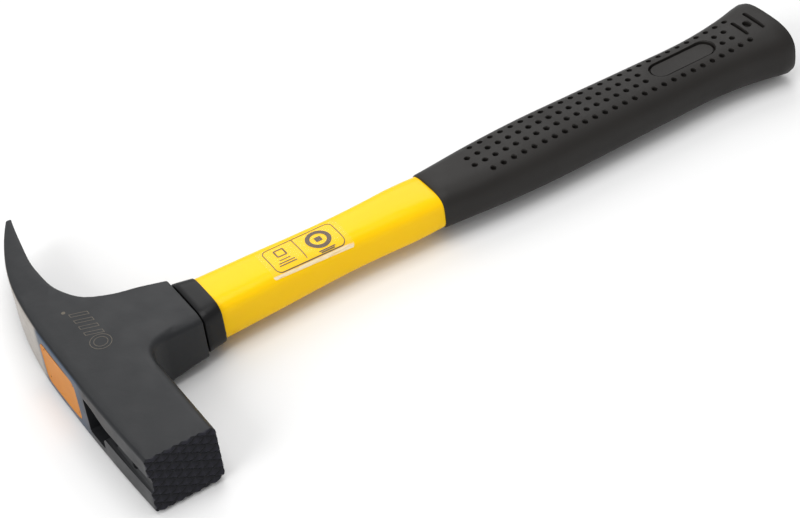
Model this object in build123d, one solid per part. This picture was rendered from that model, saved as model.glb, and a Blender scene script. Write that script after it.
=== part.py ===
"""Roofer's hammer with a forged head on a fibreglass handle, lying on its side.

While it is drawn, x is along the head (+X towards the striking face) with x = 0 on the handle's
axis, y runs along the handle from the crown (0) to the butt, and z = 0 is the middle plane between
the two cheeks. At the end every piece moves so that the origin is at the bottom centre of the whole box.
"""
import os
from math import copysign, cos, pi, sin

from build123d import *

# ---- driving dimensions, millimetres ----
BUTT_END = 317.5                # crown to butt

# head
FACE_X = 67.0                   # crests of the striking face
FACE_CROWN_Y = 1.0              # the crown falls this much towards the face
POLL_DEPTH = 27.7               # crown to the handle side of the poll
CHEEK_HALF = 12.9               # half thickness at the eye
FACE_HALF = 12.2                # half thickness at the striking face
NECK_END = 51.0                 # crown to the end of the neck
NECK_HALF_WIDTH = 13.7
NECK_HALF_THICK = 9.8
CLAW_TIP_X = -90.0
CLAW_TIP_Y = 20.8
SHORT_TINE_X = -84.5            # where the short tine of the claw stops
EDGE_RADIUS = 0.8

# striking face
GROOVE_PITCH = 3.27             # between grooves of one direction
GROOVE_ANGLE = 30.0             # of each direction to the handle's axis
GROOVE_DEPTH = 1.15
GROOVE_WIDTH = 2.9

# eye
EYE_CROWN = (28.6, 18.0)        # at the crown
EYE_NECK = (20.5, 14.5)         # at the neck
EYE_CENTRE_X = 0.0

# nail starter in the crown
NAIL_Z = 0.9                    # middle of the nail groove
NAIL_GROOVE_WIDTH = 7.0
NAIL_GROOVE_DEPTH = 2.1
POCKET_X = (20.7, 32.0)
POCKET_HALF = 7.8
POCKET_DEPTH = 7.0
MAGNET_X = 52.5
MAGNET_DIAMETER = 5.0
MAGNET_HEIGHT = 3.0
MAGNET_TOP = 3.4                # crown to the magnet's face
BOND_WALL = 0.4

# handle
GAP = 0.6                       # shadow gap between neck and collar
COLLAR_LENGTH = 7.9
COLLAR_START = NECK_END + GAP
COLLAR_END = COLLAR_START + COLLAR_LENGTH
COLLAR_HANDLE_SIZE = (22.9, 19.6)
COLLAR_HANDLE_X = 0.5           # the handle's end of the collar sits this far towards the face
COLLAR_RADIUS = 4.0
SPIGOT = (18.6, 15.4, 4.5)      # width, thickness and corner radius of the jacket inside the collar
CORE_CROWN = (17.0, 12.0)       # fibreglass core
CORE_START = 2.2
CORE_END = 300.0
GRIP_START = 154.3
LABEL_SPAN = (82.8, 116.5)      # along the handle
LABEL_X = (-5.4, 9.5)           # across it, wrapping over the corner towards the face
LABEL_THICKNESS = 0.12
EASE = 0.02                     # clearance between bonded pieces

# distance from the crown, half width and half thickness of the yellow jacket
JACKET_END = 311.0
JACKET_SECTIONS = (
    (COLLAR_END, 11.4, 9.4),
    (70.0, 11.1, 9.3),
    (87.0, 10.5, 9.1),
    (115.0, 9.9, 8.4),
    (143.0, 11.0, 8.3),
    (160.0, 11.1, 7.5),
    (200.0, 12.4, 7.5),
    (256.0, 12.0, 7.5),
    (285.0, 12.0, 7.6),
    (JACKET_END, 14.4, 9.0),
)
# the same for the rubber grip, then for the rounded end of its butt
GRIP_SECTIONS = (
    (GRIP_START, 11.9, 8.7),
    (172.0, 13.6, 8.9),
    (200.0, 14.7, 9.8),
    (228.0, 14.5, 9.7),
    (257.0, 14.2, 9.3),
    (285.0, 14.1, 9.5),
    (303.0, 16.1, 10.5),
    (314.3, 18.1, 11.9),
)
BUTT_SECTIONS = (
    (314.3, 18.1, 11.9),
    (316.3, 17.5, 11.3),
    (317.2, 16.6, 10.4),
    (BUTT_END, 15.2, 9.0),
)

# dimples of the grip
DIMPLE_PITCH = 4.72
DIMPLE_DIAMETER = 2.0
DIMPLE_DEPTH = 1.3
DIMPLE_ORIGIN = 174.28          # where column 0 would lie
OUTER_ROW = 8.14
INNER_ROW = 2.64
OUTER_COLUMNS = range(1, 28)
INNER_COLUMNS = (*range(0, 18), 25, 26)
RECESS_SPAN = (259.0, 289.5)
RECESS_WIDTH = 10.0
RECESS_DEPTH = 1.4
BARS = ((303.0, 10.5, 1.6), (310.0, 13.0, 1.6))
BAR_DEPTH = 1.1
OVAL_HOLE = (306.6, 4.4, 2.6)


def across(distance):
    """Plane square to the handle at a distance from the crown, seen with x to the right and z up."""
    return Plane(origin=(0, distance, 0), x_dir=(1, 0, 0), z_dir=(0, -1, 0))


def rounded_oval(half_width, half_thick, fullness=2.9, count=24):
    """Closed smooth curve of a superellipse; a larger fullness is squarer."""
    points = []
    for step in range(count):
        turn = 2 * pi * (step + 0.5) / count
        x = copysign(abs(cos(turn)) ** (2 / fullness), cos(turn)) * half_width
        z = copysign(abs(sin(turn)) ** (2 / fullness), sin(turn)) * half_thick
        points.append((x, z))
    return Spline(*points, periodic=True)


def handle_loft(sections, fullness, ruled=False):
    """Solid through superellipse sections along the handle, smooth or straight between them."""
    faces = []
    for distance, half_width, half_thick in sections:
        wire = Wire([rounded_oval(half_width, half_thick, fullness)])
        faces.append(across(distance) * Face(wire))
    return loft(faces, ruled=ruled)


def rounded_box(width, thick, radius, start, end, x=0.0):
    """Rounded rectangle across the handle, extruded between two distances."""
    sketch = across(start) * Pos(x, 0) * RectangleRounded(width, thick, radius)
    return extrude(sketch, -(end - start))


def tapered(first, second, radius, start, end, x=0.0, drift=0.0):
    """Rounded rectangle that changes size, and drifts along x, between two distances."""
    near = across(start) * Pos(x, 0) * RectangleRounded(*first, radius)
    far = across(end) * Pos(x + drift, 0) * RectangleRounded(*second, radius)
    return loft([near.face(), far.face()])


# ---- head ----
def head_profile():
    """Outline of the head seen square to the cheeks: poll, neck and curved claw."""
    crown = Spline((CLAW_TIP_X, CLAW_TIP_Y), (-72.4, 12.5), (-50.0, 5.0), (-20.0, 0.5), (4.0, -0.3),
                   (FACE_X, FACE_CROWN_Y))
    face = Line((FACE_X, FACE_CROWN_Y), (FACE_X, POLL_DEPTH))
    poll = Line((FACE_X, POLL_DEPTH), (22.5, POLL_DEPTH))
    throat = RadiusArc((22.5, POLL_DEPTH), (15.0, 35.2), 7.5)
    neck_side = Line((15.0, 35.2), (NECK_HALF_WIDTH, NECK_END))
    neck_end = Line((NECK_HALF_WIDTH, NECK_END), (-NECK_HALF_WIDTH, NECK_END))
    claw_side = Spline((-NECK_HALF_WIDTH, NECK_END), (-16.3, 41.5), (-17.9, 31.0), (-21.8, 22.5),
                       (-31.0, 17.3), (-49.3, 15.7), (-72.2, 19.1), (CLAW_TIP_X + 0.5, CLAW_TIP_Y + 2.0))
    tip = Line((CLAW_TIP_X + 0.5, CLAW_TIP_Y + 2.0), (CLAW_TIP_X, CLAW_TIP_Y))
    return make_face([crown, face, poll, throat, neck_side, neck_end, claw_side, tip])


def plan_profile():
    """Outline seen square to the crown: parallel poll, claw tapering to its point."""
    def side(sign):
        return Spline((-15.0, sign * CHEEK_HALF), (-40.0, sign * 11.3), (-62.0, sign * 9.0),
                      (CLAW_TIP_X - 1, sign * 4.6), tangents=((-1, 0), (-1, -sign * 0.17)))
    poll_end = FACE_X + 5
    top = Line((poll_end, FACE_HALF), (-15.0, CHEEK_HALF))
    bottom = Line((-15.0, -CHEEK_HALF), (poll_end, -FACE_HALF))
    left = Line((CLAW_TIP_X - 1, 4.6), (CLAW_TIP_X - 1, -4.6))
    right = Line((poll_end, -FACE_HALF), (poll_end, FACE_HALF))
    return make_face([top, side(1), left, side(-1), bottom, right])


def neck_profile():
    """Outline seen along the head: full cheeks that draw in towards the neck."""
    def side(sign):
        return Spline((22.0, sign * 13.4), (36.0, sign * 11.2), (NECK_END, sign * NECK_HALF_THICK),
                      tangents=((1, 0), (1, -sign * 0.03)))
    near = Line((-2.0, 13.4), (22.0, 13.4))
    far = Line((-2.0, -13.4), (22.0, -13.4))
    crown = Line((-2.0, -13.4), (-2.0, 13.4))
    end = Line((NECK_END, NECK_HALF_THICK), (NECK_END, -NECK_HALF_THICK))
    return make_face([near, side(1), end, side(-1), far, crown])


def head_blank():
    """Forging before machining: what the three outlines have in common."""
    seen_from_cheek = extrude(head_profile(), 14.0, both=True)
    crown_plane = Plane(origin=(0, -5, 0), x_dir=(1, 0, 0), z_dir=(0, -1, 0))
    seen_from_crown = extrude(crown_plane * plan_profile(), -(NECK_END + 10))
    along_plane = Plane(origin=(-100, 0, 0), x_dir=(0, 1, 0), z_dir=(1, 0, 0))
    seen_along = extrude(along_plane * neck_profile(), 180.0)
    return seen_from_cheek & seen_from_crown & seen_along


def soften(body):
    """Round the edges where the cheeks meet the crown, the poll's handle side and the throat."""
    rounded = []
    for edge in body.edges():
        middle = edge.position_at(0.5)
        along_cheek = abs(middle.Z) > NECK_HALF_THICK and edge.length > 5.0 and middle.X < FACE_X - 1
        on_crown = middle.Y < 8.0
        on_poll = middle.X > NECK_HALF_WIDTH and middle.Y > POLL_DEPTH - 1
        if along_cheek and (on_crown or on_poll):
            rounded.append(edge)
    return fillet(rounded, EDGE_RADIUS)


def eye_cutter():
    """Tapered hole for the handle, wide at the crown so that the cast epoxy locks the head."""
    straight = rounded_box(*EYE_CROWN, 3.0, -3.0, 6.0, EYE_CENTRE_X)
    taper = tapered(EYE_CROWN, EYE_NECK, 3.0, 6.0, NECK_END + 1, EYE_CENTRE_X)
    return straight + taper


def chequer_cutter():
    """Two families of V grooves across the striking face."""
    half = GROOVE_WIDTH / 2
    cutters = []
    centre_y = (FACE_CROWN_Y + POLL_DEPTH) / 2
    for sign in (1, -1):
        for step in range(-6, 7):
            vee = Plane.XZ * Polygon((0.6, -half * 1.5), (0.6, half * 1.5), (-GROOVE_DEPTH, 0), align=None)
            bar = extrude(vee, 30.0, both=True)
            bar = Pos(0, 0, step * GROOVE_PITCH) * bar
            bar = Rot(sign * GROOVE_ANGLE, 0, 0) * bar
            cutters.append(Pos(FACE_X, centre_y, 0) * bar)
    return cutters


def claw_cutters():
    """The nail slot between the tines, and what is cut away beyond the short tine."""
    crown_plane = Plane(origin=(0, -5, 0), x_dir=(1, 0, 0), z_dir=(0, -1, 0))
    slot = Polygon((-55.0, 0.9), (SHORT_TINE_X, 2.6), (CLAW_TIP_X - 3, 3.4), (CLAW_TIP_X - 3, -0.5),
                   (SHORT_TINE_X, -2.4), (-55.0, -0.3), align=None)
    beyond = Polygon((SHORT_TINE_X, 0.0), (CLAW_TIP_X - 3, 0.0), (CLAW_TIP_X - 3, -9.0),
                     (SHORT_TINE_X - 3, -9.0), align=None)
    return [extrude(crown_plane * slot, -60.0), extrude(crown_plane * beyond, -60.0)]


def nail_starter_cutters():
    """Pocket for the nail's head, groove for its shank and the hole for the magnet."""
    pocket_length = POCKET_X[1] - POCKET_X[0]
    pocket_middle = sum(POCKET_X) / 2
    pocket = across(-3.0) * Pos(pocket_middle, 0) * RectangleRounded(pocket_length, 2 * POCKET_HALF, 1.5)
    groove = Box(FACE_X - POCKET_X[1] + 8, 2 * NAIL_GROOVE_DEPTH, NAIL_GROOVE_WIDTH)
    groove = fillet(groove.edges().filter_by(Axis.X), 1.6)
    groove = Pos((FACE_X + POCKET_X[1]) / 2 + 2, 0.8, NAIL_Z) * groove
    hole_depth = MAGNET_TOP + MAGNET_HEIGHT + BOND_WALL
    hole = Cylinder(MAGNET_DIAMETER / 2 + BOND_WALL, hole_depth + 2, rotation=(90, 0, 0))
    hole = Pos(MAGNET_X, (hole_depth - 2) / 2, NAIL_Z) * hole
    return [extrude(pocket, -(POCKET_DEPTH + 3)), groove, hole]


def make_head():
    """Forged steel head with every hole and groove cut."""
    body = soften(head_blank())
    for cutter in [eye_cutter(), *claw_cutters(), *nail_starter_cutters(), *chequer_cutter()]:
        body = body - cutter
    return body


# ---- handle ----
def make_core():
    """Fibreglass rod from just under the crown to near the butt."""
    return rounded_box(*CORE_CROWN, 4.0, CORE_START, CORE_END)


def make_eye_fill(head_outline, core):
    """Epoxy between the core and the eye, flush with the crown."""
    inside = rounded_box(EYE_CROWN[0] - 2 * EASE, EYE_CROWN[1] - 2 * EASE, 3.0, -3.0, 6.0, EYE_CENTRE_X)
    crown = (EYE_CROWN[0] - 2 * EASE, EYE_CROWN[1] - 2 * EASE)
    neck = (EYE_NECK[0] - 2 * EASE, EYE_NECK[1] - 2 * EASE)
    inside += tapered(crown, neck, 3.0, 6.0, NECK_END, EYE_CENTRE_X)
    return (inside & head_outline) - core


def make_collar():
    """Black plastic collar: the handle's section at one end, the neck's at the other."""
    neck_size = (2 * NECK_HALF_WIDTH - 0.6, 2 * NECK_HALF_THICK - 0.2)
    body = tapered(neck_size, COLLAR_HANDLE_SIZE, COLLAR_RADIUS, COLLAR_START, COLLAR_END,
                   drift=COLLAR_HANDLE_X)
    return body - rounded_box(*SPIGOT, COLLAR_START - 1, COLLAR_END + 1)


def jacket_outside(grow=0.0):
    """Outer shape of the yellow jacket behind the collar."""
    sections = [(y, width + grow, thick + grow) for y, width, thick in JACKET_SECTIONS]
    return handle_loft(sections, 3.6)


def make_jacket(core):
    """Yellow plastic moulded round the core, with a spigot inside the collar."""
    return jacket_outside() + rounded_box(*SPIGOT, COLLAR_START, COLLAR_END) - core


def dimple(x, distance, side, top):
    """Round pit pressed into the grip; side is +1 for the near face and -1 for the far face."""
    return Pos(x, distance, side * (top - DIMPLE_DEPTH + 3)) * Cylinder(DIMPLE_DIAMETER / 2, 6)


def grip_height(distance):
    """Half thickness of the grip at a distance from the crown, between its sections."""
    for (y0, _, t0), (y1, _, t1) in zip(GRIP_SECTIONS, GRIP_SECTIONS[1:]):
        if y0 <= distance <= y1:
            return t0 + (t1 - t0) * (distance - y0) / (y1 - y0)
    return GRIP_SECTIONS[-1][2]


def grip_cutters():
    """Dimples, thumb recess, bars and hole on both faces of the grip."""
    cutters = []
    for side in (1, -1):
        for row in (-OUTER_ROW, -INNER_ROW, INNER_ROW, OUTER_ROW):
            outer = abs(row) == OUTER_ROW
            for column in OUTER_COLUMNS if outer else INNER_COLUMNS:
                distance = DIMPLE_ORIGIN + column * DIMPLE_PITCH
                drop = 0.45 if outer else 0.0
                cutters.append(dimple(row, distance, side, grip_height(distance) - drop))
        length = RECESS_SPAN[1] - RECESS_SPAN[0]
        middle = sum(RECESS_SPAN) / 2
        recess = Pos(0, middle, side * (grip_height(middle) - RECESS_DEPTH)) * Rot(0, 0, 90) * \
            SlotOverall(length, RECESS_WIDTH)
        cutters.append(extrude(recess, side * 6.0))
        for distance, long, wide in (*BARS, OVAL_HOLE):
            bar = Pos(0, distance, side * (grip_height(distance) - BAR_DEPTH)) * SlotOverall(long, wide)
            cutters.append(extrude(bar, side * 6.0))
    return cutters


def make_grip(core):
    """Rubber sleeve with a flared butt over the jacket's end."""
    body = handle_loft(GRIP_SECTIONS, 2.9)
    body += handle_loft(BUTT_SECTIONS, 2.9, ruled=True)
    body -= jacket_outside()
    return body - core - grip_cutters()


def make_label():
    """Clear film on the near face of the jacket."""
    middle = (sum(LABEL_X) / 2, sum(LABEL_SPAN) / 2, CHEEK_HALF)
    patch = Pos(*middle) * Box(LABEL_X[1] - LABEL_X[0], LABEL_SPAN[1] - LABEL_SPAN[0], 2 * NECK_HALF_THICK)
    return (jacket_outside(LABEL_THICKNESS) & patch) - jacket_outside()


def make_magnet():
    """Small disc magnet, face up in the nail groove."""
    disc = Cylinder(MAGNET_DIAMETER / 2, MAGNET_HEIGHT, rotation=(90, 0, 0))
    return Pos(MAGNET_X, MAGNET_TOP + MAGNET_HEIGHT / 2, NAIL_Z) * disc


def make_magnet_bond(magnet):
    """Cup of adhesive round and under the magnet."""
    height = MAGNET_HEIGHT + BOND_WALL
    cup = Cylinder(MAGNET_DIAMETER / 2 + BOND_WALL - EASE / 2, height, rotation=(90, 0, 0))
    return Pos(MAGNET_X, MAGNET_TOP + height / 2, NAIL_Z) * cup - magnet


def build():
    """Every piece by its node name, in the drawing frame."""
    core = make_core()
    magnet = make_magnet()
    return {
        "head": make_head(),
        "handle_core": core,
        "eye_fill": make_eye_fill(head_blank(), core),
        "collar": make_collar(),
        "handle_jacket": make_jacket(core),
        "grip": make_grip(core),
        "label_film": make_label(),
        "magnet": magnet,
        "magnet_bond": make_magnet_bond(magnet),
    }


def main():
    """Write every piece with the origin at the bottom centre of the whole hammer."""
    os.makedirs("parts", exist_ok=True)
    pieces = build()
    whole = Compound(children=[Compound(piece.solids()) for piece in pieces.values()]).bounding_box()
    shift = Pos(-whole.center().X, -whole.center().Y, -whole.min.Z)
    for name, piece in pieces.items():
        solids = (shift * piece).solids()
        export_step(Compound(solids) if len(solids) > 1 else solids[0], f"parts/{name}.step")
        print(name, len(solids), "solid", round(sum(s.volume for s in solids)), "mm3")
    print("box", whole.size, "shift", shift.position)


main()
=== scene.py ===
# %% [markdown]
# # A roofer's hammer, modelled round its CAD frame
# The hammer lies on its side. Its head is a forging painted satin black, with a chequered striking
# face, a nail groove with a magnet, an eye filled with amber epoxy and a slotted claw. A black collar
# joins it to a glossy yellow handle with a dimpled rubber grip. The CAD model gives every size and
# place, and this lesson builds the surfaces that the eye sees.

# %% The frame that everything is built round
from math import cos, exp, log, pi, radians, sin

import bpy
from mathutils import Matrix, Vector


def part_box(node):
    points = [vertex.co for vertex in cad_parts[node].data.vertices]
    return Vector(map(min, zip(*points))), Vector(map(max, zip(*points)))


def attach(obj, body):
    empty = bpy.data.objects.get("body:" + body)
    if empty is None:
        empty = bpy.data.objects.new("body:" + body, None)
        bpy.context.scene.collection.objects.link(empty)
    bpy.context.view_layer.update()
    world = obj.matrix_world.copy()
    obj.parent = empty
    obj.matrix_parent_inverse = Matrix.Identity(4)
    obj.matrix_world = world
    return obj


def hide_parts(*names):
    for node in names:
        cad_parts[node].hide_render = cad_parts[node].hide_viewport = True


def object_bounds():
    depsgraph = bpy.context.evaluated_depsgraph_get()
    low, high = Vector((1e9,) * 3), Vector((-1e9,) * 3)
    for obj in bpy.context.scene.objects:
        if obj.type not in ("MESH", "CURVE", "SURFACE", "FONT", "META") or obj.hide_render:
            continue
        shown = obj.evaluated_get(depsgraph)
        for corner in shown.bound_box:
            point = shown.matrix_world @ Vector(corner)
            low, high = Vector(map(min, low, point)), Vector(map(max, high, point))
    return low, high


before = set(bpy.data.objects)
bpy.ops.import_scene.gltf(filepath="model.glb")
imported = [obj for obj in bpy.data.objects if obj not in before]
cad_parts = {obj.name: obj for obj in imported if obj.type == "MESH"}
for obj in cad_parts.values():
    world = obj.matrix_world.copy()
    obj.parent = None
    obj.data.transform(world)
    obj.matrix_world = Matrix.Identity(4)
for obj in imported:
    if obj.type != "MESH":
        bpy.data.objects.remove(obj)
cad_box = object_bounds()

print("CAD nodes:", sorted(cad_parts))

# %% [markdown]
# Everything on a hammer is measured from its handle's axis and its crown, so the lesson does the
# same: x runs along the head from the handle's axis, y along the handle from the crown, and z out of
# the middle plane, all in millimetres. One function turns such a place into the frame's metres.

# %% Places and sizes on the hammer
MM = 0.001
NECK_END = 51.0                                     # crown to the end of the neck
head_low, head_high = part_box("head")
collar_low, collar_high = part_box("collar")
AXIS = Vector(((collar_low.x + collar_high.x) / 2, head_high.y - NECK_END * MM,
               (head_low.z + head_high.z) / 2))


def at(x, y, z):
    """Place on the hammer in millimetres, as a point of the frame in metres."""
    return AXIS + Vector((x, y, z)) * MM


def linear(hex_colour):
    """sRGB hex colour as the linear colour that shaders take."""
    channels = [int(hex_colour[i:i + 2], 16) / 255 for i in (1, 3, 5)]
    return [c / 12.92 if c <= 0.04045 else ((c + 0.055) / 1.055) ** 2.4 for c in channels] + [1.0]


def deselect():
    """Object mode with nothing selected."""
    if bpy.context.object and bpy.context.object.mode != "OBJECT":
        bpy.ops.object.mode_set(mode="OBJECT")
    bpy.ops.object.select_all(action="DESELECT")


def activate(piece):
    """Select one piece alone and make it active."""
    deselect()
    piece.select_set(True)
    bpy.context.view_layer.objects.active = piece


def pick_faces(piece, wanted):
    """Edit mode with only the wanted faces selected."""
    activate(piece)
    bpy.ops.object.mode_set(mode="EDIT")
    bpy.ops.mesh.select_mode(type="FACE")
    bpy.ops.mesh.select_all(action="DESELECT")
    bpy.ops.object.mode_set(mode="OBJECT")
    for face in piece.data.polygons:
        face.select = wanted(face)
    bpy.ops.object.mode_set(mode="EDIT")


def settle(piece):
    """Object at the origin, unturned and unscaled, with its place in its mesh."""
    activate(piece)
    bpy.ops.object.transform_apply(location=True, rotation=True, scale=True)


def add_modifier(piece, kind, **settings):
    """Add a modifier and apply it at once."""
    activate(piece)
    modifier = piece.modifiers.new(kind.title(), kind)
    for name, value in settings.items():
        setattr(modifier, name, value)
    bpy.ops.object.modifier_apply(modifier=modifier.name)


def cut(piece, cutters):
    """Cut the piece with one joined cutter, which is then deleted."""
    activate(cutters[0])
    for cutter in cutters:
        cutter.select_set(True)
    if len(cutters) > 1:
        bpy.ops.object.join()
    cutter = bpy.context.object
    add_modifier(piece, "BOOLEAN", object=cutter, operation="DIFFERENCE", solver="EXACT")
    bpy.data.objects.remove(cutter)


def smooth(piece, degrees=35):
    """Smooth shading, with edges sharper than the angle kept crisp."""
    activate(piece)
    bpy.ops.object.shade_smooth_by_angle(angle=radians(degrees))


def report(piece):
    """Print the size of a finished piece."""
    size = [round(edge / MM, 1) for edge in piece.dimensions]
    print(piece.name, "size", size, "mm,", len(piece.data.polygons), "faces")


print("handle axis at", [round(v, 4) for v in AXIS])

# %% [markdown]
# The camera looks down on the near cheek from the striking face's side, a little rolled, through a
# long lens. A long lens keeps the taper of the handle gentle.

# %% Camera
AIM = at(21.0, 128.0, 0.0)
AZIMUTH = radians(62.58)
ELEVATION = radians(39.9)
ROLL = radians(8.0)
DISTANCE = 0.799                                    # metres from the aim to the camera
LENS = 98.8
away = Vector((sin(AZIMUTH) * cos(ELEVATION), -cos(AZIMUTH) * cos(ELEVATION), sin(ELEVATION)))
deselect()
bpy.ops.object.camera_add(location=AIM + away * DISTANCE)
camera = bpy.context.object
turn = away.to_track_quat("Z", "Y").to_matrix().to_4x4() @ Matrix.Rotation(-ROLL, 4, "Z")
camera.matrix_world = Matrix.Translation(camera.location) @ turn
camera.data.lens = LENS
camera.data.sensor_width = 36.0
camera.data.clip_start = 0.01
bpy.context.scene.camera = camera
print("camera at", [round(v, 3) for v in camera.location])

# %% [markdown]
# A pale floor and three large soft lamps give the even light of a product bench. The lamp above does
# most of the work, one lights the crown, and a weak one behind the handle leaves a sheen on the tops.

# %% Floor and lights
FLOOR_SIZE = 6.0
FLOOR_GAP = 0.0002                                  # keeps the floor just clear of the cheek, in metres
WORLD_STRENGTH = 0.6
# name, azimuth and elevation in degrees, distance and size in metres, power in watts
LAMPS = (("top_lamp", 0, 89, 1.2, 0.8, 6.5),
         ("crown_lamp", 10, 30, 1.4, 0.9, 10),
         ("sheen_lamp", -118, 42, 1.4, 0.9, 5))
deselect()
bpy.ops.mesh.primitive_plane_add(size=FLOOR_SIZE, location=(0, 0, cad_box[0][2] - FLOOR_GAP))
floor = bpy.context.object
floor.name = "floor"
settle(floor)


def soft_lamp(name, azimuth, elevation, distance, size, power):
    """Square area lamp that faces the hammer."""
    direction = Vector((sin(radians(azimuth)) * cos(radians(elevation)),
                        -cos(radians(azimuth)) * cos(radians(elevation)), sin(radians(elevation))))
    deselect()
    bpy.ops.object.light_add(type="AREA", location=AIM + direction * distance)
    lamp = bpy.context.object
    lamp.name = name
    lamp.rotation_euler = direction.to_track_quat("Z", "Y").to_euler()
    lamp.data.shape = "SQUARE"
    lamp.data.size = size
    lamp.data.energy = power


for lamp_settings in LAMPS:
    soft_lamp(*lamp_settings)
world = bpy.data.worlds.new("studio")
world.use_nodes = True
world.node_tree.nodes["Background"].inputs["Color"].default_value = linear("#ffffff")
world.node_tree.nodes["Background"].inputs["Strength"].default_value = WORLD_STRENGTH
bpy.context.scene.world = world
bpy.context.scene.view_settings.view_transform = "Standard"     # keeps the plastic's yellow pure

# %% [markdown]
# Materials come next. Each starts from what the real surface is. One small function adds a node with
# its settings and links, and another starts a material with its plain shader values.

# %% Material helpers
def node(tree, kind, settings=None, **links):
    """Add a shader node, set its properties, then set or link its inputs by name."""
    new = tree.nodes.new(kind)
    for name, value in (settings or {}).items():
        setattr(new, name, value)
    for name, value in links.items():
        socket = new.inputs[int(name[1:])] if name[0] == "_" else new.inputs[name.replace("_", " ")]
        if isinstance(value, bpy.types.NodeSocket):
            tree.links.new(value, socket)
        else:
            socket.default_value = value
    return new


def material(name, **sockets):
    """New material whose Principled shader takes plain values, and its Object coordinates in metres."""
    new = bpy.data.materials.new(name)
    new.use_nodes = True
    shader = new.node_tree.nodes["Principled BSDF"]
    for socket, value in sockets.items():
        shader.inputs[socket.replace("_", " ")].default_value = value
    place = node(new.node_tree, "ShaderNodeTexCoord").outputs["Object"]
    return new, new.node_tree, shader, place


def grain(tree, shader, place, millimetres, strength, depth, detail=2.0):
    """Bump of a noise whose features are about this many millimetres across."""
    noise = node(tree, "ShaderNodeTexNoise", Vector=place, Scale=1 / (millimetres * MM), Detail=detail)
    bump = node(tree, "ShaderNodeBump", Height=noise.outputs["Fac"], Strength=strength,
                Distance=depth * MM)
    tree.links.new(bump.outputs["Normal"], shader.inputs["Normal"])


def mottled(tree, shader, place, socket, millimetres, low, high):
    """Slow change of one value or colour across the surface, from low to high."""
    noise = node(tree, "ShaderNodeTexNoise", Vector=place, Scale=1 / (millimetres * MM), Detail=3.0)
    if socket == "Base Color":
        ramp = node(tree, "ShaderNodeMix", {"data_type": "RGBA"}, _0=noise.outputs["Fac"],
                    _6=linear(low), _7=linear(high)).outputs[2]
    else:
        ramp = node(tree, "ShaderNodeMapRange", Value=noise.outputs["Fac"], From_Min=0.3,
                    From_Max=0.7, To_Min=low, To_Max=high).outputs["Result"]
    tree.links.new(ramp, shader.inputs[socket])


# %% [markdown]
# The grip is moulded thermoplastic rubber. Its mould is spark eroded, so the skin has a fine matte
# grain that kills sharp reflections and leaves a soft grey sheen on the top.

# %% Grip rubber
grip_rubber, tree, shader, place = material("moulded_rubber", IOR=1.5, Specular_IOR_Level=0.2)
grain(tree, shader, place, 0.35, 0.35, 0.05)
mottled(tree, shader, place, "Base Color", 25, "#1d1b1a", "#272523")
mottled(tree, shader, place, "Roughness", 12, 0.44, 0.54)

# %% [markdown]
# The collar is injection-moulded nylon, smoother and glossier than the grip.

# %% Collar nylon
collar_nylon, tree, shader, place = material("moulded_nylon", Roughness=0.3, IOR=1.53,
                                             Specular_IOR_Level=0.15)
grain(tree, shader, place, 0.8, 0.12, 0.03)
mottled(tree, shader, place, "Base Color", 10, "#101011", "#171718")

# %% [markdown]
# The handle's jacket is yellow polypropylene, moulded against a polished steel mould: deep colour, a
# clear gloss and a very slight ripple where the plastic shrank on the fibreglass.

# %% Jacket polypropylene
jacket_yellow, tree, shader, place = material("yellow_polypropylene", Roughness=0.22, IOR=1.49,
                                              Specular_IOR_Level=0.15, Subsurface_Weight=0.08)
shader.inputs["Subsurface Radius"].default_value = (0.004, 0.002, 0.0005)
grain(tree, shader, place, 9.0, 0.25, 0.05, detail=1.0)
mottled(tree, shader, place, "Base Color", 30, "#f4bf00", "#f8c803")

# %% [markdown]
# The head is drop-forged steel with a satin black stove enamel. The enamel is thin, so the slightly
# uneven forged skin shows through it as soft cloudiness. The back of the claw was ground after
# painting and is bare. A bluish painted sheen lies on the crown beside the eye, and the striking face
# is painted darker as painted shade. The bare zone and the sheen are found by place and by which way
# the surface faces, so they follow the crown wherever the mesh goes.

# %% Head enamel and bare ground steel
enamel, tree, shader, place = material("satin_enamel_on_forged_steel", IOR=1.5, Specular_IOR_Level=0.25)
soft = {"interpolation_type": "SMOOTHSTEP"}
product = {"operation": "MULTIPLY"}
blend = {"data_type": "RGBA"}
spot = node(tree, "ShaderNodeSeparateXYZ", Vector=place).outputs
normal = node(tree, "ShaderNodeNewGeometry").outputs["Normal"]
facing = node(tree, "ShaderNodeSeparateXYZ", Vector=normal).outputs
cloud = node(tree, "ShaderNodeTexNoise", Vector=place, Scale=1 / (9 * MM), Detail=4.0).outputs["Fac"]
wander = node(tree, "ShaderNodeTexNoise", Vector=place, Scale=1 / (6 * MM), Detail=3.0).outputs["Fac"]
along = node(tree, "ShaderNodeMath", {"operation": "MULTIPLY_ADD"}, _0=wander, _1=6 * MM,
             _2=spot["X"]).outputs[0]
crown = node(tree, "ShaderNodeMapRange", soft, Value=facing["Y"], From_Min=-0.55,
             From_Max=-0.9).outputs["Result"]

# the crown's ground zone starts beside the eye and fades out before the claw's tip
from_eye = node(tree, "ShaderNodeMapRange", soft, Value=along, From_Min=at(-11, 0, 0).x,
                From_Max=at(-17, 0, 0).x).outputs["Result"]
to_tip = node(tree, "ShaderNodeMapRange", soft, Value=along, From_Min=at(-86, 0, 0).x,
              From_Max=at(-72, 0, 0).x).outputs["Result"]
ground = node(tree, "ShaderNodeMath", product, _0=crown, _1=from_eye).outputs[0]
ground = node(tree, "ShaderNodeMath", product, _0=ground, _1=to_tip).outputs[0]
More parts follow.
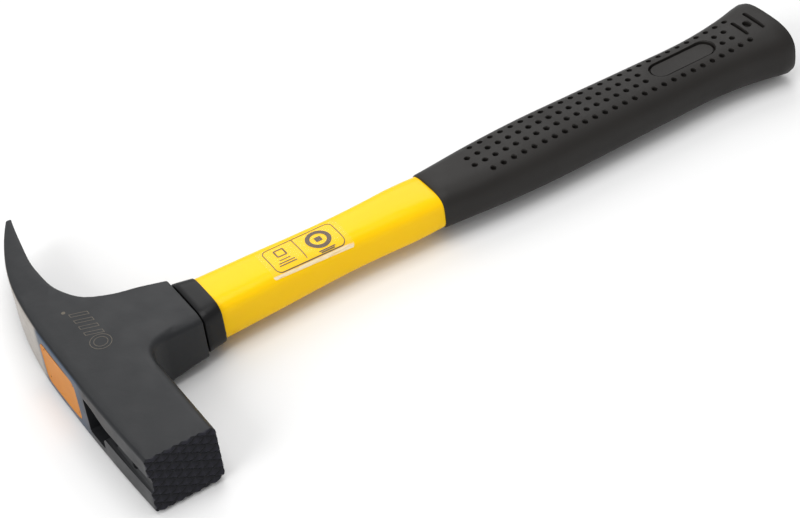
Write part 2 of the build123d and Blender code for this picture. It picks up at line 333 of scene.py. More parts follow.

# painted sheen: a bluish grey along the eye on the crown, standing in for glancing light on the enamel
sheen_rise = node(tree, "ShaderNodeMapRange", soft, Value=along, From_Min=at(-20, 0, 0).x,
                  From_Max=at(-12, 0, 0).x).outputs["Result"]
sheen_fall = node(tree, "ShaderNodeMapRange", soft, Value=along, From_Min=at(26, 0, 0).x,
                From_Max=at(17, 0, 0).x, To_Max=0.55).outputs["Result"]
crown_sheen = node(tree, "ShaderNodeMath", product, _0=crown, _1=sheen_rise).outputs[0]
crown_sheen = node(tree, "ShaderNodeMath", product, _0=crown_sheen, _1=sheen_fall).outputs[0]

# painted shade: the striking face, from just behind its teeth outwards, is painted darker and bluer
face_shade = node(tree, "ShaderNodeMapRange", soft, Value=spot["X"], From_Min=at(65.4, 0, 0).x,
             From_Max=at(66.3, 0, 0).x).outputs["Result"]
paint = node(tree, "ShaderNodeMix", blend, _0=cloud, _6=linear("#1a1b1d"), _7=linear("#232426")).outputs[2]
paint = node(tree, "ShaderNodeMix", blend, _0=face_shade, _6=paint, _7=linear("#1a1a22")).outputs[2]
paint = node(tree, "ShaderNodeMix", blend, _0=crown_sheen, _6=paint, _7=linear("#3c4f66")).outputs[2]
brushed = node(tree, "ShaderNodeMapping", Vector=place, Scale=(0.12, 1, 1)).outputs["Vector"]
scratch = node(tree, "ShaderNodeTexNoise", Vector=brushed, Scale=1 / (0.5 * MM), Detail=2.0).outputs["Fac"]
steel = node(tree, "ShaderNodeMix", blend, _0=scratch, _6=linear("#8f8983"), _7=linear("#b9b3ac")).outputs[2]
colour = node(tree, "ShaderNodeMix", blend, _0=ground, _6=paint, _7=steel).outputs[2]
bare = node(tree, "ShaderNodeMath", product, _0=ground, _1=0.9).outputs[0]
rough = node(tree, "ShaderNodeMapRange", Value=cloud, From_Min=0.3, From_Max=0.7, To_Min=0.38,
             To_Max=0.5).outputs["Result"]
skin = node(tree, "ShaderNodeTexNoise", Vector=place, Scale=1 / (0.6 * MM), Detail=3.0).outputs["Fac"]
dents = node(tree, "ShaderNodeTexNoise", Vector=place, Scale=1 / (7 * MM), Detail=2.0).outputs["Fac"]
fine = node(tree, "ShaderNodeBump", Height=skin, Strength=0.25, Distance=0.03 * MM).outputs["Normal"]
uneven = node(tree, "ShaderNodeBump", Height=dents, Strength=0.5, Distance=0.25 * MM,
              Normal=fine).outputs["Normal"]
for socket, source in (("Base Color", colour), ("Metallic", bare), ("Roughness", rough), ("Normal", uneven)):
    tree.links.new(source, shader.inputs[socket])

# %% [markdown]
# Epoxy, magnet, adhesive and fibreglass are small but each has its own finish: the epoxy is cloudy
# amber, the magnet is plated with nickel, and the fibreglass shows its long fibres.

# %% Epoxy, nickel, adhesive and fibreglass
amber_epoxy, tree, shader, place = material("cast_amber_epoxy", Roughness=0.5, IOR=1.55,
                                            Specular_IOR_Level=0.1, Subsurface_Weight=0.2)
shader.inputs["Subsurface Radius"].default_value = (0.003, 0.0015, 0.0005)
grain(tree, shader, place, 2.0, 0.3, 0.06)
mottled(tree, shader, place, "Base Color", 7, "#b06c20", "#bb7a34")
nickel, tree, shader, place = material("nickel_plate", Metallic=1.0)
grain(tree, shader, place, 0.5, 0.2, 0.02)
mottled(tree, shader, place, "Base Color", 2, "#6d6a66", "#85827d")
mottled(tree, shader, place, "Roughness", 2, 0.3, 0.42)
adhesive, tree, shader, place = material("cured_adhesive", Roughness=0.5, IOR=1.5)
grain(tree, shader, place, 0.6, 0.4, 0.05)
mottled(tree, shader, place, "Base Color", 1, "#2a2724", "#3a3733")
fibreglass, tree, shader, place = material("pultruded_fibreglass", Roughness=0.35, IOR=1.5)
strands = node(tree, "ShaderNodeMapping", Vector=place, Scale=(1, 0.02, 1)).outputs["Vector"]
fibres = node(tree, "ShaderNodeTexNoise", Vector=strands, Scale=1 / (0.8 * MM), Detail=3.0).outputs["Fac"]
resin = node(tree, "ShaderNodeMix", blend, _0=fibres, _6=linear("#c9bd8e"), _7=linear("#e3dab4")).outputs[2]
tree.links.new(resin, shader.inputs["Base Color"])

# %% [markdown]
# The handle's jacket and its rubber grip are mouldings with a squared oval section that swells and
# narrows along the handle. A few rings, each a distance from the crown with a half width and a half
# thickness, say how. A curve through them gives the rings between, so the sides stay smooth, and each
# sleeve is extruded from ring to ring, which is how such a shape is drawn by hand. The jacket is drawn
# in a little under the grip, where it can't be seen, so that the grip's pits never reach it.

# %% Jacket and grip: their rings
JACKET_FULLNESS = 3.6
GRIP_FULLNESS = 2.9
JACKET_RINGS = ((52.2, 9.0, 7.6), (59.2, 9.2, 7.8), (59.4, 11.4, 9.4), (62.0, 11.35, 9.4),
                (70.0, 11.1, 9.3), (87.0, 10.5, 9.1), (101.0, 10.05, 8.7), (115.0, 9.9, 8.4),
                (129.0, 10.3, 8.3), (143.0, 11.0, 8.3), (153.0, 11.1, 7.8), (160.0, 11.1, 7.1),
                (200.0, 12.2, 7.1), (256.0, 11.8, 7.0), (285.0, 11.8, 7.0), (311.0, 14.2, 8.4))
GRIP_RINGS = ((154.35, 11.2, 8.2), (154.4, 11.6, 8.45), (155.0, 11.95, 8.7), (158.0, 12.2, 8.75),
              (165.0, 12.95, 8.8), (172.0, 13.65, 8.95), (186.0, 14.4, 9.45), (200.0, 14.75, 9.8),
              (228.0, 14.5, 9.7), (257.0, 14.2, 9.3), (285.0, 14.0, 9.5), (296.0, 15.0, 10.0),
              (305.0, 16.4, 10.7), (311.0, 17.6, 11.5), (314.6, 18.1, 11.9), (316.8, 17.6, 11.4),
              (317.5, 16.0, 9.8))


def squared(turn, half_width, half_thick, fullness):
    """Point of a superellipse round the handle's axis, in millimetres: a fuller one is squarer."""
    across, up = cos(turn), sin(turn)
    x = abs(across) ** (2 / fullness) * (half_width if across > 0 else -half_width)
    z = abs(up) ** (2 / fullness) * (half_thick if up > 0 else -half_thick)
    return x, z


def sleeve(name, rings, fullness, sides=96):
    """Closed piece extruded ring by ring along the handle from one squared circle."""
    deselect()
    start, half_width, half_thick = rings[0]
    bpy.ops.mesh.primitive_circle_add(vertices=sides, fill_type="NGON", location=at(0, start, 0))
    piece = bpy.context.object
    piece.name = name
    settle(piece)
    for index, vertex in enumerate(piece.data.vertices):
        x, z = squared(2 * pi * (index + 0.5) / sides, half_width, half_thick, fullness)
        vertex.co = at(x, start, z)
    bpy.ops.object.mode_set(mode="EDIT")
    bpy.ops.mesh.select_all(action="SELECT")
    for (y0, w0, t0), (y1, w1, t1) in zip(rings, rings[1:]):
        bpy.ops.mesh.extrude_region_move(TRANSFORM_OT_translate={"value": (0, (y1 - y0) * MM, 0)})
        bpy.ops.transform.resize(value=(w1 / w0, 1, t1 / t0), center_override=at(0, y1, 0))
    bpy.ops.mesh.select_all(action="SELECT")
    bpy.ops.mesh.normals_make_consistent(inside=False)
    bpy.ops.object.mode_set(mode="OBJECT")
    return piece


def through(points, step):
    """Points about one step apart on a smooth curve through the given ones."""
    knots = [Vector(point) for point in points]
    gaps = [(b - a).length for a, b in zip(knots, knots[1:])]
    chords = [(b - a) / gap for a, b, gap in zip(knots, knots[1:], gaps)]
    slopes = [(c0 * g1 + c1 * g0) / (g0 + g1)
              for c0, c1, g0, g1 in zip(chords, chords[1:], gaps, gaps[1:])]
    slopes = [2 * chords[0] - slopes[0], *slopes, 2 * chords[-1] - slopes[-1]]
    curve = []
    for a, b, slope_a, slope_b, gap in zip(knots, knots[1:], slopes, slopes[1:], gaps):
        count = max(1, round(gap / step))
        for t in (part / count for part in range(count)):
            curve.append((2 * t ** 3 - 3 * t ** 2 + 1) * a + (t ** 3 - 2 * t ** 2 + t) * gap * slope_a
                         + (3 * t ** 2 - 2 * t ** 3) * b + (t ** 3 - t ** 2) * gap * slope_b)
    return curve + [knots[-1]]


jacket_rings = [*JACKET_RINGS[:3], *through(JACKET_RINGS[3:], 4.0)]
jacket = sleeve("yellow_jacket", jacket_rings, JACKET_FULLNESS)
smooth(jacket)
report(jacket)
grip_rings = [*GRIP_RINGS[:3], *through(GRIP_RINGS[3:14], 2.4), *GRIP_RINGS[14:]]
grip = sleeve("dimpled_grip", grip_rings, GRIP_FULLNESS)
report(grip)

# %% [markdown]
# The grip's broad sides carry four rows of small moulded dimples, a long thumb recess with a moat round
# its floor, and two bars with a small oval pit between them. Each pit is a cutter that flares at its
# mouth, so its rim looks moulded and not drilled. One dimple cutter is copied along the rows, and all
# the cutters go into the rubber together, because one boolean is quicker than nearly two hundred.

# %% Grip: its dimples, recess and bars
DIMPLE_PITCH = 4.72
DIMPLE_ORIGIN = 174.28                              # crown to the place of column 0
DIMPLE_RADIUS = 1.12
DIMPLE_DEPTH = 1.6
OUTER_ROW = 8.14
INNER_ROW = 2.64
OUTER_COLUMNS = tuple(range(1, 28))
INNER_COLUMNS = (*range(18), 25, 26)                # the thumb recess takes the columns between
OUTER_DROP = 0.5                                    # how far the surface falls from middle to outer row
RIM = 0.25
THUMB_Y = 274.25
THUMB_DEPTH = 2.0
MOAT_WIDTH = 0.8
MOAT_DEPTH = 1.2
# width, length, depth, distance from the crown, corners
BUTT_PITS = ((1.5, 10.5, 1.5, 303.0, 16), (1.5, 13.0, 1.5, 310.0, 16), (2.8, 4.0, 1.9, 306.6, 24))


def grip_half(distance):
    """Half thickness of the grip at a distance from the crown."""
    for (y0, _, t0), (y1, _, t1) in zip(GRIP_RINGS, GRIP_RINGS[1:]):
        if y0 <= distance <= y1:
            return t0 + (t1 - t0) * (distance - y0) / (y1 - y0)
    return GRIP_RINGS[-1][2]


def flared_cutter(width, length, depth, y, vertices, side):
    """Cutter for a moulded pit with a soft rim: a round or long plug whose upper end flares."""
    top = grip_half(y) - 0.03
    deselect()
    bpy.ops.mesh.primitive_cylinder_add(vertices=vertices, radius=width / 2 * MM, depth=depth * MM,
                                        location=at(0, y, side * (top - depth / 2)))
    cutter = bpy.context.object
    settle(cutter)
    stretch = (length - width) / 2 * MM
    for vertex in cutter.data.vertices:
        vertex.co.x += stretch if vertex.co.x > AXIS.x else -stretch
    pick_faces(cutter, lambda face: face.normal.z * side > 0.9)
    bpy.ops.transform.translate(value=(0, 0, -RIM * side * MM))
    bpy.ops.mesh.extrude_region_move(TRANSFORM_OT_translate={"value": (0, 0, 1.4 * RIM * side * MM)})
    bpy.ops.transform.resize(value=(1 + 2 * RIM / length, 1 + 2 * RIM / width, 1),
                             center_override=at(0, y, 0))
    bpy.ops.mesh.extrude_region_move(TRANSFORM_OT_translate={"value": (0, 0, 3 * side * MM)})
    bpy.ops.object.mode_set(mode="OBJECT")
    return cutter


def moated(cutter, width, depth, side):
    """Leave a narrow moat round a recess: its floor, inside the moat, stands higher by the depth."""
    pick_faces(cutter, lambda face: face.normal.z * side < -0.9)
    bpy.ops.mesh.inset(thickness=width * MM)
    bpy.ops.mesh.inset(thickness=0.15 * MM)
    bpy.ops.transform.translate(value=(0, 0, depth * side * MM))
    bpy.ops.object.mode_set(mode="OBJECT")


def copied(piece, x, y, z):
    """Copy with its own mesh, moved by some millimetres."""
    copy = piece.copy()
    copy.data = piece.data.copy()
    copy.data.transform(Matrix.Translation(Vector((x, y, z)) * MM))
    bpy.context.collection.objects.link(copy)
    return copy


pits = []
for side in (1, -1):
    first = flared_cutter(2 * DIMPLE_RADIUS, 2 * DIMPLE_RADIUS, DIMPLE_DEPTH, DIMPLE_ORIGIN, 16, side)
    for row in (-OUTER_ROW, -INNER_ROW, INNER_ROW, OUTER_ROW):
        outer = abs(row) == OUTER_ROW
        for column in OUTER_COLUMNS if outer else INNER_COLUMNS:
            distance = column * DIMPLE_PITCH
            rise = grip_half(DIMPLE_ORIGIN + distance) - grip_half(DIMPLE_ORIGIN)
            rise -= OUTER_DROP if outer else 0
            pits.append(copied(first, row, distance, rise * side))
    bpy.data.objects.remove(first)
    thumb = flared_cutter(10.0, 30.5, THUMB_DEPTH, THUMB_Y, 48, side)
    moated(thumb, MOAT_WIDTH, MOAT_DEPTH, side)
    thumb.data.transform(Matrix.Translation(at(0, THUMB_Y, 0)) @ Matrix.Rotation(pi / 2, 4, "Z")
                         @ Matrix.Translation(-at(0, THUMB_Y, 0)))
    pits.append(thumb)
    pits += [flared_cutter(*pit, side) for pit in BUTT_PITS]
cut(grip, pits)
smooth(grip)
report(grip)

# %% [markdown]
# The collar swells from the handle's section to the neck's, with well rounded corners. It is a sleeve
# as well, and its rings drift sideways a little, so its claw side tapers more than the other.

# %% Collar
COLLAR_FULLNESS = 4.6
COLLAR_DRIFT = 0.4
COLLAR_RINGS = ((51.6, 13.0, 9.2), (51.75, 13.25, 9.45), (52.1, 13.4, 9.6), (54.0, 13.0, 9.65),
                (56.5, 12.3, 9.7), (58.7, 11.7, 9.75), (59.25, 11.55, 9.7), (59.5, 11.3, 9.45))
collar = sleeve("neck_collar", COLLAR_RINGS, COLLAR_FULLNESS)
collar_start = at(0, COLLAR_RINGS[0][0], 0).y
collar_length = COLLAR_RINGS[-1][0] - COLLAR_RINGS[0][0]
for vertex in collar.data.vertices:
    reach = (vertex.co.y - collar_start) / MM / collar_length
    vertex.co.x += COLLAR_DRIFT * reach * MM
smooth(collar)
report(collar)

# %% [markdown]
# The head is a forging. Seen square to its cheeks it is one outline, so it starts as a flat outline
# that is extruded to its thickness. The crown, the throat and the claw's underside are curves through a
# few places, and the striking face and the end of the neck are straight.

# %% Head: outline and cheeks
FACE_X = 67.0
POLL_DEPTH = 27.7
CHEEK_HALF = 12.9
CLAW_TIP = (-90.0, 20.8)
crown_line = through([CLAW_TIP, (-72.4, 12.5), (-50, 5.0), (-20, 0.5), (4, -0.15), (FACE_X, 1.0)], 5)
throat_line = through([(23.5, POLL_DEPTH), (18.2, 29.6), (15.2, 35.0)], 2)
claw_line = through([(-13.7, NECK_END), (-16.3, 41.5), (-17.9, 31), (-21.8, 22.5), (-31, 17.3),
                     (-49.3, 15.7), (-72.2, 19.1), (-89.5, 22.8)], 3)
face_corner = Vector((FACE_X, POLL_DEPTH))
neck_corner = Vector((13.7, NECK_END))
outline = [*crown_line, face_corner, *throat_line, neck_corner, *claw_line]
deselect()
bpy.ops.mesh.primitive_circle_add(vertices=len(outline), fill_type="NGON")
head = bpy.context.object
head.name = "forged_head"
for vertex, point in zip(head.data.vertices, outline):
    vertex.co = at(point.x, point.y, -CHEEK_HALF)
bpy.ops.object.mode_set(mode="EDIT")
bpy.ops.mesh.select_all(action="SELECT")
bpy.ops.mesh.extrude_region_move(TRANSFORM_OT_translate={"value": (0, 0, 2 * CHEEK_HALF * MM)})
bpy.ops.mesh.select_all(action="SELECT")
bpy.ops.mesh.normals_make_consistent(inside=False)
bpy.ops.object.mode_set(mode="OBJECT")
report(head)

# %% [markdown]
# One bevel rounds every edge of the forging. Each edge carries its own share of the widest radius:
# crisp along the poll, wide at the neck and at the corners of the striking face.

# %% Head: rounded edges
WIDEST = 5.0


def long_radius(x, y, z):
    """Radius of the long edges where a cheek meets the crown, the claw, the throat or the neck."""
    if y > NECK_END - 0.1 or x > FACE_X - 0.1:
        return 0.0
    if y > POLL_DEPTH - 0.1 and x > 24:
        return 2.8 if z > 0 else 4.8
    if y > 26:
        return 1.3 + (3.6 if x > 0 or z < 0 else 0.5) * min((y - 26) / 17, 1)
    if x < CLAW_TIP[0] + 2:
        return 0.5
    return 0.9 if x < -40 else 1.25


def end_radius(x, y, z):
    """Radius of the rims of the striking face and of the neck's end."""
    return 1.2 if x > FACE_X - 0.1 else 0.4 if y > NECK_END - 0.1 else 0.0


def round_edges(piece, radius_at, sharpest=25):
    """Round each edge that is sharper than the angle by the radius that its place asks for."""
    mesh = piece.data
    faces_of = {edge.key: [] for edge in mesh.edges}
    for face in mesh.polygons:
        for key in face.edge_keys:
            faces_of[key].append(face.normal)
    weights = mesh.attributes.get("bevel_weight_edge")
    weights = weights or mesh.attributes.new("bevel_weight_edge", "FLOAT", "EDGE")
    count = 0
    for edge in mesh.edges:
        weights.data[edge.index].value = 0.0
    for edge in mesh.edges:
        normals = faces_of[edge.key]
        if len(normals) == 2 and normals[0].angle(normals[1], 0) > radians(sharpest):
            middle = (mesh.vertices[edge.vertices[0]].co + mesh.vertices[edge.vertices[1]].co) / 2
            x, y, z = (middle - AXIS) / MM
            weights.data[edge.index].value = radius_at(x, y, z) / WIDEST
            count += 1
    add_modifier(piece, "BEVEL", width=WIDEST * MM, segments=4, limit_method="WEIGHT",
                 use_clamp_overlap=False)
    print(count, "edges rounded on", piece.name)


def box_cutter(low, high, radius=0.0, along="Z"):
    """Box between two corners in millimetres, its edges along one axis rounded."""
    deselect()
    low, high = Vector(low), Vector(high)
    bpy.ops.mesh.primitive_cube_add(size=1, location=at(*((low + high) / 2)), scale=(high - low) * MM)
    cutter = bpy.context.object
    settle(cutter)
    if radius:
        bpy.ops.object.mode_set(mode="EDIT")
        bpy.ops.mesh.select_mode(type="EDGE")
        bpy.ops.mesh.select_all(action="DESELECT")
        bpy.ops.object.mode_set(mode="OBJECT")
        way = Vector((along == "X", along == "Y", along == "Z"))
        for edge in cutter.data.edges:
            a, b = (cutter.data.vertices[v].co for v in edge.vertices)
            edge.select = abs((b - a).normalized().dot(way)) > 0.9
        bpy.ops.object.mode_set(mode="EDIT")
        bpy.ops.mesh.bevel(offset=radius * MM, segments=5)
        bpy.ops.object.mode_set(mode="OBJECT")
    return cutter


def plate_cutter(outline, low, high):
    """Plate cutter: an outline of x and z places, extruded along y from low to high."""
    deselect()
    bpy.ops.mesh.primitive_circle_add(vertices=len(outline), fill_type="NGON", location=at(0, low, 0))
    cutter = bpy.context.object
    settle(cutter)
    for vertex, (x, z) in zip(cutter.data.vertices, outline):
        vertex.co = at(x, low, z)
    bpy.ops.object.mode_set(mode="EDIT")
    bpy.ops.mesh.select_all(action="SELECT")
    bpy.ops.mesh.extrude_region_move(TRANSFORM_OT_translate={"value": (0, (high - low) * MM, 0)})
    bpy.ops.mesh.select_all(action="SELECT")
    bpy.ops.mesh.normals_make_consistent(inside=False)
    bpy.ops.object.mode_set(mode="OBJECT")
    return cutter


round_edges(head, long_radius)
round_edges(head, end_radius)
report(head)

# %% [markdown]
# The cheeks aren't flat: the forging is thickest over the eye and thins towards the claw, the striking
# face and the neck. The rounded plate is cut across into a net, and each point is drawn in to the
# thickness that a formula gives for its place. Then the nail slot splits the claw into two tines, and
# the far tine is cut shorter than the near one.

# %% Head: cheeks drawn in, claw slotted
SHORT_TINE_X = -84.5
PAST_TIP_X = -93.0


def half_thickness(x, y):
    """Half thickness of the forging at a place on its cheek: the thinner of cheek and neck, blended."""
    cheek = CHEEK_HALF - (1.6 * ((-15 - x) / 25) ** 1.48 if x < -15 else 0.7 * (x + 15) / 82)
    neck = 9.8 + 3.4 * (max(NECK_END - y, 0) / 29) ** 1.35
    blend = 0.6
    return cheek - blend * log(1 + exp((cheek - neck) / blend))


def bisected(piece, places, axis):
    """Cut a piece across at each place along an axis, without opening it."""
    activate(piece)
    normal = Vector((axis == "x", axis == "y", axis == "z"))
    bpy.ops.object.mode_set(mode="EDIT")
    for place in places:
        bpy.ops.mesh.select_all(action="SELECT")
        bpy.ops.mesh.bisect(plane_co=at(*(normal * place)), plane_no=normal)
    bpy.ops.object.mode_set(mode="OBJECT")


bisected(head, range(-84, 66, 6), "x")
bisected(head, range(4, 50, 4), "y")
for vertex in head.data.vertices:
    x, y, z = (vertex.co - AXIS) / MM
    vertex.co.z = AXIS.z + z * half_thickness(x, y) / CHEEK_HALF * MM
slot_outline = [(-55, 0.9), (SHORT_TINE_X, 2.6), (PAST_TIP_X, 3.4), (PAST_TIP_X, -0.5),
                (SHORT_TINE_X, -2.4), (-55, -0.3)]
beyond_outline = [(SHORT_TINE_X, 0), (PAST_TIP_X, 0), (PAST_TIP_X, -9), (SHORT_TINE_X - 3, -9)]
cut(head, [plate_cutter(slot_outline, -5, 40)])
cut(head, [plate_cutter(beyond_outline, -5, 40)])
report(head)

# %% [markdown]
# The crown is machined: the eye that holds the handle, a pocket and groove that hold a nail, and a
# bored seat for the magnet. The pocket's near wall sweeps into the groove, as the cutter left it.

# %% Head: eye, pocket, groove and magnet seat
EYE_HALF = (14.3, 9.0)
EYE_AT_NECK = (10.25, 7.25)
NAIL_Z = 0.9
MAGNET_X = 52.5
eye = box_cutter((-EYE_HALF[0], -3, -EYE_HALF[1]), (EYE_HALF[0], 52, EYE_HALF[1]), 3.0, "Y")
for vertex in eye.data.vertices:
    x, y, z = (vertex.co - AXIS) / MM
    if y > 40:
        vertex.co = at(x * EYE_AT_NECK[0] / EYE_HALF[0], y, z * EYE_AT_NECK[1] / EYE_HALF[1])
near_wall = through([(20.7, 7.3), (26.5, 7.1), (31.5, 5.6), (36.0, 4.5), (40.0, 4.2)], 1.2)
pocket_outline = [tuple(p) for p in near_wall] + [(40.0, -2.2), (34.0, -2.4), (32.3, -4.0), (32.0, -7.6),
                                                  (31.2, -8.3), (21.4, -8.3), (20.7, -7.6)]
magnet_seat = box_cutter((MAGNET_X - 2.9, -3, NAIL_Z - 2.9), (MAGNET_X + 2.9, 6.8, NAIL_Z + 2.9), 2.85, "Y")
nail_groove = box_cutter((31, -4, -2.6), (FACE_X + 5, 2.1, 4.4), 1.7, "X")
for cutter in (eye, plate_cutter(pocket_outline, -3, 7), nail_groove, magnet_seat):
    cut(head, [cutter])
report(head)

# %% [markdown]
# The striking face is chequered so that it doesn't slip off a nail. Two families of V cuts cross at
# a slant and leave diamond-shaped teeth, which run out over the rounded rim in a zigzag.

# %% Head: chequered face
TOOTH_PITCH = 3.27
TOOTH_DEPTH = 1.4
TOOTH_SLANT = 30.0


def vee_cutter(offset, slant):
    """Long V-shaped cutter across the striking face, turned by the slant."""
    deselect()
    bpy.ops.mesh.primitive_cylinder_add(vertices=3, radius=1, depth=70 * MM, location=(0, 0, 0),
                                        rotation=(pi / 2, 0, 0))
    cutter = bpy.context.object
    settle(cutter)
    for vertex in cutter.data.vertices:
        deep = vertex.co.z > 0.9
        side = 0 if deep else (1 if vertex.co.x > 0 else -1)
        vertex.co = (0.06 * MM if side else -TOOTH_DEPTH * MM, vertex.co.y,
                     (offset + side * (TOOTH_PITCH / 2 - 0.01)) * MM)
    cutter.data.transform(Matrix.Rotation(radians(slant), 4, "X"))
    cutter.data.transform(Matrix.Translation(at(FACE_X, POLL_DEPTH / 2, 0)))
    activate(cutter)
    bpy.ops.object.mode_set(mode="EDIT")
    bpy.ops.mesh.select_all(action="SELECT")
    bpy.ops.mesh.normals_make_consistent(inside=False)
    bpy.ops.object.mode_set(mode="OBJECT")
    return cutter


for slant in (TOOTH_SLANT, -TOOTH_SLANT):
    cut(head, [vee_cutter(step * TOOTH_PITCH, slant) for step in range(-6, 7)])
smooth(head)
report(head)

# %% [markdown]
# Cast epoxy locks the head on the handle. It is poured level with the crown and sinks slightly as it
# cures, so its skin is a shallow dish that climbs a little at the eye's walls.

# %% Epoxy in the eye
EYE_GAP = 0.02                                      # keeps the epoxy just clear of the eye's wall
EPOXY_DEPTH = 6
DISH = ((0.25, 0.10), (0.6, 0.12), (1.2, 0.08), (2.4, 0.05))    # each step inwards, and how far it sinks
epoxy_half = (EYE_HALF[0] - EYE_GAP, EYE_HALF[1] - EYE_GAP)
epoxy = box_cutter((-epoxy_half[0], 0, -epoxy_half[1]), (epoxy_half[0], EPOXY_DEPTH, epoxy_half[1]),
                   2.98, "Y")
epoxy.name = "epoxy_fill"
pick_faces(epoxy, lambda face: face.normal.y < -0.9)
for inset, sink in DISH:
    bpy.ops.mesh.inset(thickness=inset * MM)
    bpy.ops.transform.translate(value=(0, sink * MM, 0))
bpy.ops.object.mode_set(mode="OBJECT")
bisected(epoxy, range(-12, 14, 3), "x")
for vertex in epoxy.data.vertices:
    x, y, z = (vertex.co - AXIS) / MM
    if y < 3:
        vertex.co.y += (-0.3 + 0.00095 * (x - 2) ** 2) * MM
smooth(epoxy)
report(epoxy)

# %% [markdown]
# The label is a clear film with dark print, stuck on the jacket's near side and wrapped over its
# corner. A flat sheet is dropped onto the jacket and given its thickness. Along the corner a whitish
# painted highlight makes the film more opaque where the glossy film curves over the corner. A noise
# drawn out along the handle breaks it into streaks.

# %% Clear film
LABEL_X = (-5.4, 9.5)
LABEL_Y = (82.8, 116.5)
ABOVE = 16                                          # flat shapes start this far above the middle plane
clear_film, tree, shader, place = material("clear_polyester_film", Roughness=0.12, IOR=1.6)
shader.inputs["Base Color"].default_value = linear("#fff3cf")
spot = node(tree, "ShaderNodeSeparateXYZ", Vector=place).outputs
# painted highlight: a whitish, more opaque band where the glossy film curves over the jacket's corner
margin = node(tree, "ShaderNodeMapRange", soft, Value=spot["X"], From_Min=at(8.55, 0, 0).x,
              From_Max=at(8.9, 0, 0).x).outputs["Result"]
streaks = node(tree, "ShaderNodeMapping", Vector=place, Scale=(1.5, 0.3, 1)).outputs["Vector"]
ripple = node(tree, "ShaderNodeTexNoise", Vector=streaks, Scale=1 / (3 * MM), Detail=2.0).outputs["Fac"]
highlight_streaks = node(tree, "ShaderNodeMapRange", soft, Value=ripple, From_Min=0.35, From_Max=0.6).outputs["Result"]
painted_highlight = node(tree, "ShaderNodeMath", product, _0=margin, _1=highlight_streaks).outputs[0]
opacity = node(tree, "ShaderNodeMapRange", Value=painted_highlight, To_Min=0.02, To_Max=0.6).outputs["Result"]
tree.links.new(opacity, shader.inputs["Alpha"])


def laid(piece, target, lift, thickness):
    """Drop a flat piece onto another along z and give it its thickness."""
    add_modifier(piece, "SHRINKWRAP", target=target, wrap_method="PROJECT", use_project_z=True,
                 use_negative_direction=True, use_positive_direction=False, offset=lift * MM)
    add_modifier(piece, "SOLIDIFY", thickness=thickness * MM, offset=1.0)
    activate(piece)
    bpy.ops.object.mode_set(mode="EDIT")
    bpy.ops.mesh.select_all(action="SELECT")
    bpy.ops.mesh.normals_make_consistent(inside=False)
    bpy.ops.object.mode_set(mode="OBJECT")


def panel(x_range, y_range, corner=0.0, line=0.0, segments=6):
    """Flat panel above the hammer with rounded corners: filled, or just a line along its rim."""
    deselect()
    bpy.ops.mesh.primitive_plane_add(size=1, location=(0, 0, 0))
    shape = bpy.context.object
    for vertex in shape.data.vertices:
        vertex.co = at(x_range[vertex.co.x > 0], y_range[vertex.co.y > 0], ABOVE)
    bpy.ops.object.mode_set(mode="EDIT")
    bpy.ops.mesh.select_all(action="SELECT")
    if corner:
        bpy.ops.mesh.bevel(offset=corner * MM, segments=segments, affect="VERTICES")
    if line:
        bpy.ops.mesh.select_mode(type="FACE")
        bpy.ops.mesh.select_all(action="SELECT")
        bpy.ops.mesh.inset(thickness=line * MM)
        bpy.ops.mesh.delete(type="FACE")
    bpy.ops.object.mode_set(mode="OBJECT")
    return shape


def round_panel(x, y, radius, line=0.0):
    """Round panel: a square whose corners are rounded all the way."""
    return panel((x - radius, x + radius), (y - radius, y + radius), radius * 0.999, line, 12)


def merged(name, shapes, step=0.5):
    """Join flat shapes into one piece and cut it finely enough to follow a curve."""
    activate(shapes[0])
    for shape in shapes:
        shape.select_set(True)
    bpy.ops.object.join()
    piece = bpy.context.object
    piece.name = name
    xs = [(vertex.co.x - AXIS.x) / MM for vertex in piece.data.vertices]
    places = [min(xs) + step * k for k in range(1, int((max(xs) - min(xs)) / step) + 1)]
    bisected(piece, places, "x")
    return piece


film = merged("clear_label_film", [panel(LABEL_X, LABEL_Y, 0.8)])
laid(film, jacket, 0.03, 0.05)
smooth(film)
report(film)

# %% [markdown]
# The print is a plain frame with a divider. It holds a bold ring round a block, a small outlined tile,
# and bars where a label has its small print. Each sign is a flat panel, filled or outlined. They are
# joined, cut across finely enough to follow the jacket's corner, and laid on the film like ink.

# %% Label print
SMALL_PRINT_WIDTH = 0.42
# x, start along the handle and length of each bar
SMALL_PRINT = ((3.2, 88.6, 4.6), (4.7, 87.6, 6.6), (5.8, 87.2, 7.2), (6.9, 103.0, 6.8), (7.5, 103.6, 5.6))
print_ink, tree, shader, place = material("printed_ink", Roughness=0.45, IOR=1.5)
mottled(tree, shader, place, "Base Color", 1.5, "#4b3a2c", "#5d4a3a")
grain(tree, shader, place, 0.3, 0.1, 0.01)
signs = [panel((-4.8, 8.5), (84.9, 114.2), 2.4, 0.32), panel((-4.6, 7.3), (97.7, 98.0)),
         round_panel(1.3, 106.1, 4.9, 1.7), panel((0.0, 2.6), (104.8, 107.4), 0.3),
         panel((-2.6, 1.6), (88.9, 93.1), 0.6, 0.55)]
signs += [panel((x, x + SMALL_PRINT_WIDTH), (y, y + length), 0.15) for x, y, length in SMALL_PRINT]
print_piece = merged("label_print", signs)
laid(print_piece, jacket, 0.09, 0.015)
report(print_piece)

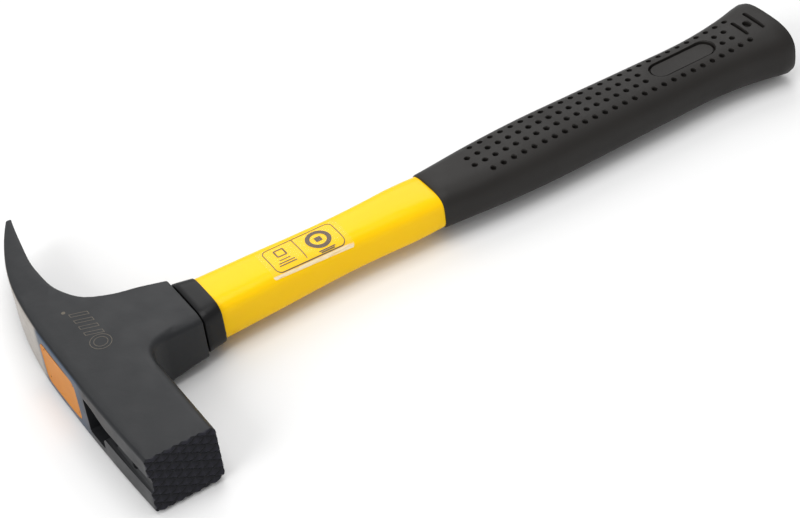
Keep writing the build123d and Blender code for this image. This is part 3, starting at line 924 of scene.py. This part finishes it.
# %% [markdown]
# A laser marks the near cheek. The beam burns the enamel off in thin lines and leaves the steel a dull
# brownish grey. The mark is a dot, a row of plain slanted bars and two rings, laid on as a thin film,
# which is easier to keep crisp than cutting lines a fifth of a millimetre wide.

# %% Laser mark
laser_mark, tree, shader, place = material("laser_marked_steel", Metallic=0.5, Roughness=0.5)
mottled(tree, shader, place, "Base Color", 1.0, "#514c43", "#6b6459")
grain(tree, shader, place, 0.2, 0.3, 0.01)
LASER_LINE = 0.2
BAR_WIDTH = 1.9
BAR_Y = (13.2, 19.6)
BAR_SLANT = 0.35
marks = [round_panel(-17.6, 12.2, 0.75), round_panel(4.4, 16.2, 4.0, LASER_LINE),
         round_panel(4.4, 16.2, 2.6, LASER_LINE)]
bar_middle = at(0, sum(BAR_Y) / 2, 0).y
for x in (-14.4, -10.4, -6.4, -2.4):
    bar = panel((x, x + BAR_WIDTH), BAR_Y, 0.0, LASER_LINE)
    for vertex in bar.data.vertices:
        vertex.co.x += BAR_SLANT * (vertex.co.y - bar_middle)
    marks.append(bar)
mark_piece = merged("laser_marks", marks, 1.0)
laid(mark_piece, head, 0.02, 0.01)
report(mark_piece)

# %% [markdown]
# Last, every piece rides on the hammer's one body, hides the CAD node that it stands for, and takes
# its finish. The print and the laser mark stand for no node of their own. The CAD's magnet, its
# adhesive and the fibreglass core keep their own shape.

# %% Ride, replace and finish
FINISHES = (                                        # piece, slot, material and the nodes it replaces
    (head, "head_steel", enamel, ["head"]),
    (epoxy, "epoxy", amber_epoxy, ["eye_fill"]),
    (collar, "collar_plastic", collar_nylon, ["collar"]),
    (jacket, "jacket_plastic", jacket_yellow, ["handle_jacket"]),
    (grip, "grip_rubber", grip_rubber, ["grip"]),
    (film, "clear_film", clear_film, ["label_film"]),
    (print_piece, "clear_film", print_ink, []),
    (mark_piece, "head_steel", laser_mark, []),
)
for piece, slot, finish, nodes in FINISHES:
    piece.data.materials.clear()
    piece.data.materials.append(finish)
    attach(piece, "root")
    if nodes:
        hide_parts(*nodes)
for name, finish in (("magnet", nickel), ("magnet_bond", adhesive), ("handle_core", fibreglass)):
    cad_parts[name].data.materials.clear()
    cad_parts[name].data.materials.append(finish)
deselect()
